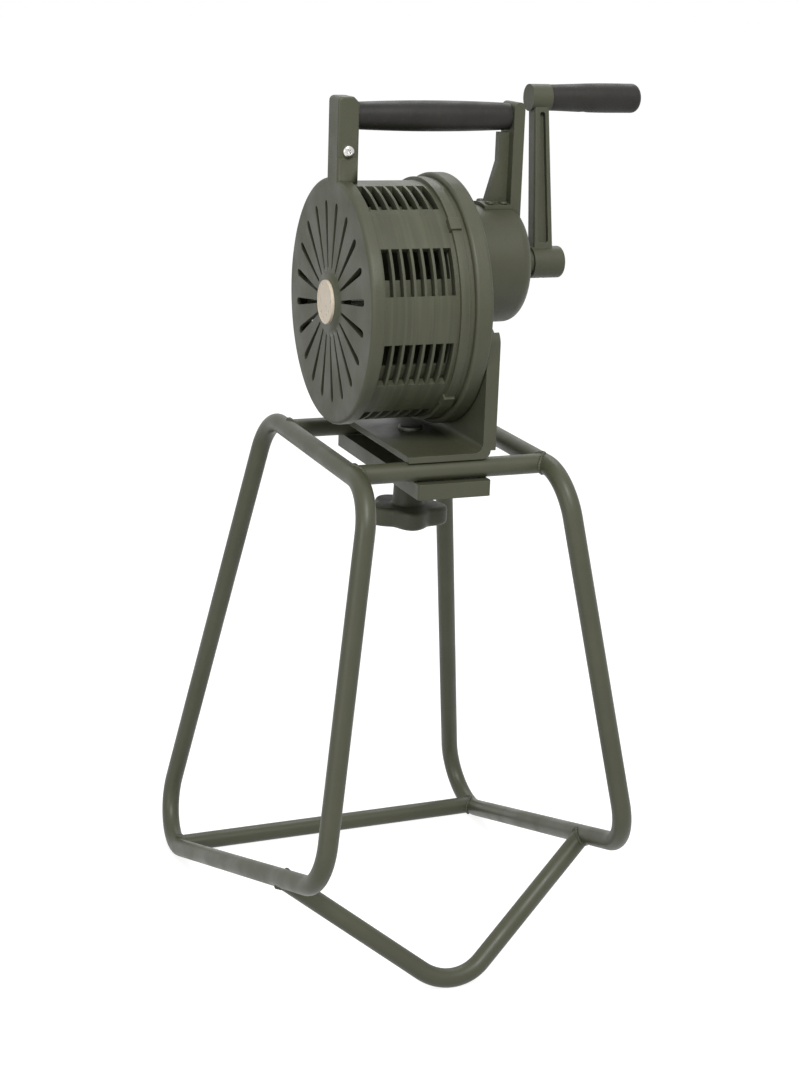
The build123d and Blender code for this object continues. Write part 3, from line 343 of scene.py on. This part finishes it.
def bare_metal(name, colour, gloss, streak):
    """Uncoated metal whose gloss changes along streaks, brighter on its edges."""
    finish, tree, shader, place = new_finish(name)
    stretch = tree.nodes.new("ShaderNodeMapping")
    stretch.inputs["Scale"].default_value = streak
    tree.links.new(place, stretch.inputs["Vector"])
    lines = noise(tree, stretch.outputs["Vector"], 300.0, 4.0)
    cloud = spread(tree, noise(tree, place, 25.0, 4.0), 0.35, 0.65)
    rounded, edge = round_edges(tree, METAL_EDGE_R)
    body = blend_colours(tree, cloud, shade(colour, 0.86), colour)
    bright = tuple(min(1.0, part * 1.25) for part in colour)
    tree.links.new(
        blend_colours(tree, times(tree, edge, 0.5), body, bright), shader.inputs["Base Color"]
    )
    tree.links.new(spread(tree, lines, 0.3, 0.7, *gloss), shader.inputs["Roughness"])
    tree.links.new(bump(tree, lines, rounded, METAL_GRAIN), shader.inputs["Normal"])
    shader.inputs["Metallic"].default_value = 1.0
    print(name, colour)
    return finish


turned_steel = bare_metal("turned_steel", (0.50, 0.49, 0.47), (0.22, 0.42), ALONG_X)
plated_steel = bare_metal("plated_steel", (0.70, 0.69, 0.66), (0.16, 0.32), EVEN)
# The clamp stud's steel is dull, and its dark colour is partly painted shade for the shadow
# under the drum.
steel_in_painted_shade = bare_metal("steel_in_painted_shade", (0.16, 0.16, 0.14), (0.45, 0.62), EVEN)
bush_bronze = bare_metal("bush_bronze", (0.55, 0.36, 0.16), (0.28, 0.45), ALONG_X)

# %% [markdown]
# ## Grip plastic and badge enamel
# Both grips are black moulded plastic with a dull, slightly pebbled skin, a little greyer
# where hands have scuffed it. A flat black would look like a hole, so clouds and scuffs break
# it up. The badge is a plain cream disc, glossier than the paint round it.

# %% Grip plastic and badge enamel
PLASTIC_EDGE_R, PLASTIC_SPECULAR = 0.0008, 0.30
PLASTIC_GRAIN, BADGE_EDGE_R, BADGE_GRAIN = 0.00014, 0.0005, 0.00005


def moulded_plastic(name, colour):
    """Dull pebbled plastic with paler scuffs."""
    finish, tree, shader, place = new_finish(name)
    cloud = spread(tree, noise(tree, place, 30.0, 4.0), 0.35, 0.65)
    body = blend_colours(tree, cloud, shade(colour, 0.8), shade(colour, 1.25))
    scuffs = spread(tree, noise(tree, place, 220.0, 5.0), 0.58, 0.70)
    worn = blend_colours(tree, times(tree, scuffs, 0.35), body, shade(colour, 2.2))
    tree.links.new(worn, shader.inputs["Base Color"])
    rough = spread(tree, noise(tree, place, 45.0, 5.0), 0.35, 0.65, 0.46, 0.60)
    tree.links.new(rough, shader.inputs["Roughness"])
    rounded, _ = round_edges(tree, PLASTIC_EDGE_R)
    grained = bump(tree, noise(tree, place, 650.0, 3.0), rounded, PLASTIC_GRAIN)
    tree.links.new(grained, shader.inputs["Normal"])
    shader.inputs["Specular IOR Level"].default_value = PLASTIC_SPECULAR
    print(name, colour)
    return finish


grip_plastic = moulded_plastic("grip_plastic", (0.015, 0.014, 0.012))


def badge_enamel(name, colour):
    """Smooth enamel with a faint orange peel."""
    finish, tree, shader, place = new_finish(name)
    cloud = spread(tree, noise(tree, place, 90.0, 5.0), 0.35, 0.65)
    tree.links.new(
        blend_colours(tree, cloud, shade(colour, 0.93), colour), shader.inputs["Base Color"]
    )
    rough = spread(tree, noise(tree, place, 200.0, 3.0), 0.35, 0.65, 0.26, 0.38)
    tree.links.new(rough, shader.inputs["Roughness"])
    rounded, _ = round_edges(tree, BADGE_EDGE_R)
    orange_peel = noise(tree, place, 700.0, 2.0)
    tree.links.new(bump(tree, orange_peel, rounded, BADGE_GRAIN), shader.inputs["Normal"])
    print(name, colour)
    return finish


cream_enamel = badge_enamel("cream_enamel", (0.72, 0.62, 0.48))

# %% [markdown]
# ## Painting the CAD nodes
# The record names a material slot for each node. One table from slot to finish paints them all,
# so that a node added later is painted too.

# %% Finishes on the CAD nodes
FINISH_OF_SLOT = {
    "stand_paint": tube_paint,
    "bracket_paint": plate_paint,
    "knob_paint": knob_paint,
    "casting_paint": casting_paint,
    "painted_screw": screw_paint,
    "rotor_alloy": rotor_paint,
    "badge": cream_enamel,
    "bright_steel": plated_steel,
    "steel": turned_steel,
    "bronze": bush_bronze,
    "grip_black": grip_plastic,
}
slot_of_node = {
    part["node"]: part["material_slot"] for part in frame["record"]["subparts"]
}
for node, slot in slot_of_node.items():
    for holder in nodes[node].material_slots:
        holder.material = FINISH_OF_SLOT[slot]
# Three nodes differ from their slot. The drum's paint has painted highlight lines of its turned
# grooves, and the axle's end is painted over with the crank arm. The clamp's stud is dull steel
# whose dark colour is partly painted shade, for the shadow under the drum.
for node, skin in (
    ("stator_drum", drum_paint), ("grip_axle", casting_paint), ("clamp_stud", steel_in_painted_shade)
):
    for holder in nodes[node].material_slots:
        holder.material = skin
print(len(slot_of_node), "nodes painted")

# %% [markdown]
# ## Making new pieces
# A piece is shaped in a bmesh, Blender's own editable mesh, with the same operators as in edit
# mode. One helper turns it into an object: it makes the faces point outwards, shades them
# smooth but keeps real edges sharp, and ties the piece to the body that it moves with. The
# others join shapes, turn an outline as a lathe does, and stand a shape on its seat.

# %% From a bmesh to a piece
KEEP_SHARP = math.radians(38)
SAME_POINT = 1e-6


def finish_piece(shape, name, finish, body, slot, *stands_for):
    """Makes a bmesh an object, painted, and tied to the empty of its body."""
    bmesh.ops.recalc_face_normals(shape, faces=shape.faces)
    mesh = bpy.data.meshes.new(name)
    shape.to_mesh(mesh)
    shape.free()
    mesh.materials.append(finish)
    mesh.shade_smooth()
    mesh.set_sharp_from_angle(angle=KEEP_SHARP)
    piece = bpy.data.objects.new(name, mesh)
    bpy.context.scene.collection.objects.link(piece)
    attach(piece, body)
    if stands_for:
        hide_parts(*stands_for)
    print(name, len(mesh.polygons), "faces on", body)


def add_to(group, shape):
    """Moves the faces of one bmesh into another, by way of a mesh that is thrown away."""
    carrier = bpy.data.meshes.new("carrier")
    shape.to_mesh(carrier)
    shape.free()
    group.from_mesh(carrier)
    bpy.data.meshes.remove(carrier)


def turned(outline, steps=48):
    """Spins an outline of (radius, height) points about Z, as a lathe would."""
    shape = bmesh.new()
    corners = [shape.verts.new((radius, 0.0, height)) for radius, height in outline]
    for pair in zip(corners, corners[1:]):
        shape.edges.new(pair)
    bmesh.ops.spin(
        shape, geom=shape.verts[:] + shape.edges[:], cent=(0, 0, 0), axis=(0, 0, 1),
        angle=math.tau, steps=steps, use_merge=True,
    )
    bmesh.ops.remove_doubles(shape, verts=shape.verts, dist=SAME_POINT)
    return shape


def upon(place, outward, twist=0.0):
    """The matrix that stands a shape on a place, with its Z pointing outward."""
    aim = Vector(outward).to_track_quat("Z", "Y").to_matrix().to_4x4()
    return Matrix.Translation(place) @ aim @ Matrix.Rotation(twist, 4, "Z")


print("edges over", round(math.degrees(KEEP_SHARP)), "degrees stay sharp")

# %% [markdown]
# ## Weld beads
# Every tube end of the stand is welded all round. A bead could be sculpted, but it is really a
# ring that follows the seam where two equal tubes meet. So a small circle is spun into a ring,
# and each of its points slides along the branch tube as far as the seam does.

# %% Where the tubes meet
TUBE_R = 0.0095
LOOP_HALF_GAP = 0.098
CROSS_TUBE_Y = (-0.103, 0.088)
BEAD_R, RIPPLE, RIPPLES = 0.0020, 0.00022, 26
BEAD_SIDES, BEAD_STEPS = 10, 104

top_bar_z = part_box("brace_side_cross_tube")[1].z - TUBE_R
foot_low, foot_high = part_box("foot_tube")
foot_half_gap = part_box("rear_loop")[1].x - TUBE_R
along_bar = Vector((0, 1, 0))
seams = []
for side in (-1, 1):
    inward = Vector((-side, 0, 0))
    for y in CROSS_TUBE_Y:
        seams.append((Vector((side * LOOP_HALF_GAP, y, top_bar_z)), inward, along_bar))
    foot_y = (foot_low.y + foot_high.y) / 2
    seams.append((Vector((side * foot_half_gap, foot_y, TUBE_R)), inward, along_bar))

# The V brace meets the sloping lower bars at an angle.
BRACE_END = Vector((-0.16285, -0.11022, 0.11715))
BRACE_RUN = Vector((0.7698, -0.2827, -0.5724))
LOWER_BAR_RUN = Vector((-0.0538, 0.9430, -0.3285))
for side in (-1, 1):
    flip = Matrix.Diagonal((-side, 1, 1))
    seams.append((flip @ BRACE_END, flip @ BRACE_RUN, flip @ LOWER_BAR_RUN))
print(len(seams), "welded joints")

# %% The beads
welds = bmesh.new()
for joint, branch, bar in seams:
    branch, bar = branch.normalized(), bar.normalized()
    bead = bmesh.new()
    bmesh.ops.create_circle(
        bead, segments=BEAD_SIDES, radius=BEAD_R,
        matrix=Matrix.Translation((TUBE_R, 0, 0)) @ Matrix.Rotation(math.pi / 2, 4, "X"),
    )
    bmesh.ops.spin(
        bead, geom=bead.verts[:] + bead.edges[:], cent=(0, 0, 0), axis=(0, 0, 1),
        angle=math.tau, steps=BEAD_STEPS, use_merge=True,
    )
    bmesh.ops.remove_doubles(bead, verts=bead.verts, dist=SAME_POINT)
    lean = branch.dot(bar)
    square = math.sqrt(1 - lean * lean)
    for vertex in bead.verts:
        turn = math.atan2(vertex.co.y, vertex.co.x)
        swell = RIPPLE * math.cos(RIPPLES * turn)
        middle = Vector((math.cos(turn), math.sin(turn), 0)) * TUBE_R
        vertex.co = middle + (vertex.co - middle) * (1 + swell / BEAD_R)
        vertex.co.z += TUBE_R * (abs(math.cos(turn)) + math.cos(turn) * lean) / square
    towards_bar = (bar - branch * lean).normalized()
    aim = Matrix((towards_bar, branch.cross(towards_bar), branch)).transposed().to_4x4()
    bmesh.ops.transform(bead, matrix=Matrix.Translation(joint) @ aim, verts=bead.verts)
    # The foot tube lies on the floor, so its beads are flattened there.
    for vertex in bead.verts:
        vertex.co.z = max(vertex.co.z, 0.0)
    add_to(welds, bead)
finish_piece(welds, "weld_beads", tube_paint, "stand", "stand_paint")

# %% [markdown]
# ## Intake cover
# The air slots of the real cover are slimmer than the model's. The rest of the casting is
# right, so a merged copy of it is kept, and only the points on the walls of a slot move
# towards that slot's own middle line. The first slot stands half a step from the horizontal.

# %% Slimmer slots
SLOTS = 20
SLOT_INNER_R, SLOT_OUTER_R, SLOT_SIDE = 0.0315, 0.0975, 0.0070
SLOT_SLIMMER = 0.60

cover_low, cover_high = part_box("intake_cover")
badge_low, badge_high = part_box("badge_disc")
drum_z = (badge_low.z + badge_high.z) / 2
cover = bmesh.new()
cover.from_mesh(nodes["intake_cover"].data)
bmesh.ops.remove_doubles(cover, verts=cover.verts, dist=SAME_POINT)
slot_turn = math.tau / SLOTS
moved = 0
for vertex in cover.verts:
    y, z = vertex.co.y, vertex.co.z - drum_z
    radius, angle = math.hypot(y, z), math.atan2(z, y)
    middle = (math.floor(angle / slot_turn) + 0.5) * slot_turn
    off_middle = radius * math.sin(angle - middle)
    if SLOT_INNER_R < radius < SLOT_OUTER_R and abs(off_middle) < SLOT_SIDE:
        along = radius * math.cos(angle - middle)
        off_middle *= SLOT_SLIMMER
        vertex.co.y = along * math.cos(middle) - off_middle * math.sin(middle)
        vertex.co.z = drum_z + along * math.sin(middle) + off_middle * math.cos(middle)
        moved += 1
print(moved, "points moved")
finish_piece(cover, "intake_cover_slotted", casting_paint, "stand", "casting_paint",
             "intake_cover")

# %% [markdown]
# ## Badge
# The disc in the middle of the intake cover is pressed sheet with a fine raised rim. It is
# turned on a lathe outline, and it stays bare.

# %% Bare badge
BADGE_RIM, BADGE_RISE, BADGE_EASE = 0.0012, 0.0005, 0.0004
BADGE_STEPS = 96

badge_r = (badge_high.y - badge_low.y) / 2
badge_t = badge_high.x - badge_low.x
badge = turned([
    (0, 0), (badge_r, 0), (badge_r, badge_t - BADGE_RISE), (badge_r - BADGE_EASE, badge_t),
    (badge_r - BADGE_RIM, badge_t),
    (badge_r - BADGE_RIM - BADGE_RISE, badge_t - BADGE_RISE), (0, badge_t - BADGE_RISE),
], BADGE_STEPS)
seat = upon((badge_high.x, 0, drum_z), (-1, 0, 0))
bmesh.ops.transform(badge, matrix=seat, verts=badge.verts)
finish_piece(badge, "bare_badge", cream_enamel, "stand", "badge", "badge_disc")

# %% [markdown]
# ## Screws
# A pan-head screw is a lathe shape with a cross sunk into its head. The cross is cut by a
# Boolean, one tapered blade after the other, because a cutter that overlaps itself leaves
# nothing. The seats are not typed in: each loose solid of a CAD node is one screw, and its
# box says where it stands and how long it is.

# %% The cross-head screw
# The cross, as parts of the head: its length, width, depth, and its taper at the bottom.
CROSS_LONG, CROSS_WIDE, CROSS_DEEP, CROSS_TAPER = 1.16, 0.26, 1.1, 0.55
CROSS_TURN = 0.02
# Radius and height of the dome, as parts of the head.
DOME = ((1.0, 0.35), (0.93, 0.66), (0.76, 0.87), (0.45, 0.98), (0.0, 1.0))
SCREW_STEPS = 40


def cut_away(shape, cutter):
    """A new bmesh: the shape with the cutter's form taken out."""
    holders = []
    for name, part in (("shape", shape), ("cutter", cutter)):
        bmesh.ops.recalc_face_normals(part, faces=part.faces)
        mesh = bpy.data.meshes.new(name)
        part.to_mesh(mesh)
        part.free()
        holders.append(bpy.data.objects.new(name, mesh))
        bpy.context.scene.collection.objects.link(holders[-1])
    cut = holders[0].modifiers.new("cut", "BOOLEAN")
    cut.object = holders[1]
    cut.solver = "EXACT"
    seen = holders[0].evaluated_get(bpy.context.evaluated_depsgraph_get())
    made = bmesh.new()
    made.from_mesh(seen.data)
    for holder in holders:
        bpy.data.meshes.remove(holder.data)
    bmesh.ops.recalc_face_normals(made, faces=made.faces)
    return made


def cross_head_screw(head_r, head_h, shank_r, length):
    """A pan-head screw on Z: its head stands on the origin, its shank runs down."""
    outline = [(0, -length), (shank_r, -length), (shank_r, 0), (head_r, 0)]
    outline += [(head_r * part, head_h * rise) for part, rise in DOME]
    screw = turned(outline, SCREW_STEPS)
    for turn in (CROSS_TURN, math.pi / 2 + CROSS_TURN):
        blade = bmesh.new()
        arm = Matrix.Rotation(turn, 4, "Z") @ Matrix.Translation((0, 0, head_h))
        size = (head_r * CROSS_LONG, head_r * CROSS_WIDE, head_h * CROSS_DEEP, 1)
        arm = arm @ Matrix.Diagonal(size)
        bmesh.ops.create_cube(blade, size=1.0, matrix=arm)
        for vertex in blade.verts:
            if vertex.co.z < head_h:
                vertex.co.xy *= CROSS_TAPER
        screw = cut_away(screw, blade)
    return screw


print("a cross", CROSS_LONG / 2, "of the head across")

# %% Seats of the screws


def loose_solids(node):
    """The box of each separate solid of a CAD node."""
    copy = bmesh.new()
    copy.from_mesh(nodes[node].data)
    bmesh.ops.remove_doubles(copy, verts=copy.verts, dist=SAME_POINT)
    waiting = set(copy.verts)
    boxes = []
    while waiting:
        reached = [waiting.pop()]
        for vertex in reached:
            for edge in vertex.link_edges:
                other = edge.other_vert(vertex)
                if other in waiting:
                    waiting.remove(other)
                    reached.append(other)
        low = Vector([min(v.co[axis] for v in reached) for axis in range(3)])
        high = Vector([max(v.co[axis] for v in reached) for axis in range(3)])
        boxes.append((low, high))
    copy.free()
    return sorted(boxes, key=lambda box: tuple(box[0]))


# Head radius, head height and shank radius.
BIG_SCREW, SMALL_SCREW = (0.0056, 0.0034, 0.0030), (0.0044, 0.0026, 0.0025)
# No two screws are driven to the same turn.
FIRST_TWIST, NEXT_TWIST = 0.6, 1.1
# Node, outward direction, the three sizes and finish.
SCREWS = {
    "handle_screw": ((0, -1, 0), *BIG_SCREW, plated_steel),
    "bracket_screws": ((1, 0, 0), *BIG_SCREW, screw_paint),
    "gear_housing_screws": ((1, 0, 0), *BIG_SCREW, screw_paint),
    "housing_screws": ((1, 0, 0), *SMALL_SCREW, screw_paint),
    "rear_post_screws": ((0, 0, 1), *SMALL_SCREW, screw_paint),
}
for node, (outward, head_r, head_h, shank_r, metal) in SCREWS.items():
    outward = Vector(outward)
    group = bmesh.new()
    for number, (low, high) in enumerate(loose_solids(node)):
        length = abs((high - low).dot(outward)) - head_h
        middle = (low + high) / 2
        tip = middle + outward * (length + head_h) / 2
        one = cross_head_screw(head_r, head_h, shank_r, length)
        twist = FIRST_TWIST + NEXT_TWIST * number
        stand_up = upon(tip - outward * head_h, outward, twist)
        bmesh.ops.transform(one, matrix=stand_up, verts=one.verts)
        add_to(group, one)
    finish_piece(group, "cross_head_" + node, metal, "stand", slot_of_node[node], node)

# %% [markdown]
# ## Star knob
# The clamp's knob has five broad, shallow lobes for a palm. It starts as a circle of many
# points, each pulled in between the lobes by a cosine. Extruding gives it height, bevelling
# rounds its rims, and a lathe shape adds the hub that presses on the washer.

# %% Star knob
LOBES, LOBE_TURN, LOBE_BREADTH = 5, math.radians(-102), 0.8
KNOB_POINTS, HUB_STEPS = 160, 64
KNOB_R, KNOB_WAIST, KNOB_T, KNOB_ROUND = 0.0400, 0.0315, 0.0190, 0.0042
STUD_HOLE_R, HUB_R, HUB_FOOT_R, HUB_SUNK = 0.0052, 0.0130, 0.0150, 0.0005

knob_low, knob_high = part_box("clamp_knob")
knob = bmesh.new()
rim = bmesh.ops.create_circle(knob, segments=KNOB_POINTS, radius=1.0)["verts"]
for point in rim:
    turn = math.atan2(point.co.y, point.co.x) - LOBE_TURN
    lobe = (0.5 + 0.5 * math.cos(LOBES * turn)) ** LOBE_BREADTH
    point.co *= KNOB_WAIST + (KNOB_R - KNOB_WAIST) * lobe
bmesh.ops.create_circle(knob, segments=KNOB_POINTS, radius=STUD_HOLE_R)
bmesh.ops.bridge_loops(knob, edges=knob.edges[:])
grown = bmesh.ops.extrude_face_region(knob, geom=knob.faces[:])
upper = [item for item in grown["geom"] if isinstance(item, bmesh.types.BMVert)]
bmesh.ops.translate(knob, verts=upper, vec=(0, 0, KNOB_T))
# The level edges outside the hole are the two rims.
rims = [
    edge for edge in knob.edges
    if all(v.co.xy.length > HUB_FOOT_R for v in edge.verts)
    and abs(edge.verts[0].co.z - edge.verts[1].co.z) < SAME_POINT
]
bmesh.ops.bevel(
    knob, geom=rims, offset=KNOB_ROUND, segments=5, profile=0.5, affect="EDGES", material=-1
)
hub_top = knob_high.z - knob_low.z
# The fillet at the hub's foot, as steps out from the foot and up from the knob.
FILLET = ((0.0025, -HUB_SUNK), (0.0006, 0.0012), (0.0, 0.0035))
hub = turned([
    (STUD_HOLE_R, KNOB_T - HUB_SUNK),
    *((HUB_FOOT_R + out, KNOB_T + rise) for out, rise in FILLET),
    (HUB_R, hub_top), (STUD_HOLE_R, hub_top), (STUD_HOLE_R, KNOB_T - HUB_SUNK),
], HUB_STEPS)
add_to(knob, hub)
bmesh.ops.translate(knob, verts=knob.verts, vec=(0, 0, knob_low.z))
finish_piece(knob, "star_knob", knob_paint, "knob", "knob_paint", "clamp_knob")

# %% [markdown]
# ## Spacer behind the crank's hub
# No bare shaft shows between the gear housing and the crank. A painted spacer fills that space
# and turns with the crank. It stops just short of the housing, and both its ends are read
# from the CAD pieces, so that it still fits if they move.

# %% Crank spacer
SPACER_R, SPACER_BORE_R, SPACER_GAP = 0.0130, 0.0081, 0.0003
SPACER_EASE, SPACER_STEPS = 0.0008, 64

nose_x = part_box("gear_housing")[1].x + SPACER_GAP
hub_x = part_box("crank_arm")[0].x
crank_low, crank_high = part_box("crank_shaft")
crank_z = (crank_low.z + crank_high.z) / 2
width = hub_x - nose_x
spacer = turned([
    (SPACER_BORE_R, 0), (SPACER_R - SPACER_EASE, 0), (SPACER_R, SPACER_EASE),
    (SPACER_R, width), (SPACER_BORE_R, width), (SPACER_BORE_R, 0),
], SPACER_STEPS)
bmesh.ops.transform(spacer, matrix=upon((nose_x, 0, crank_z), (1, 0, 0)), verts=spacer.verts)
finish_piece(spacer, "crank_spacer", casting_paint, "crank", "casting_paint")
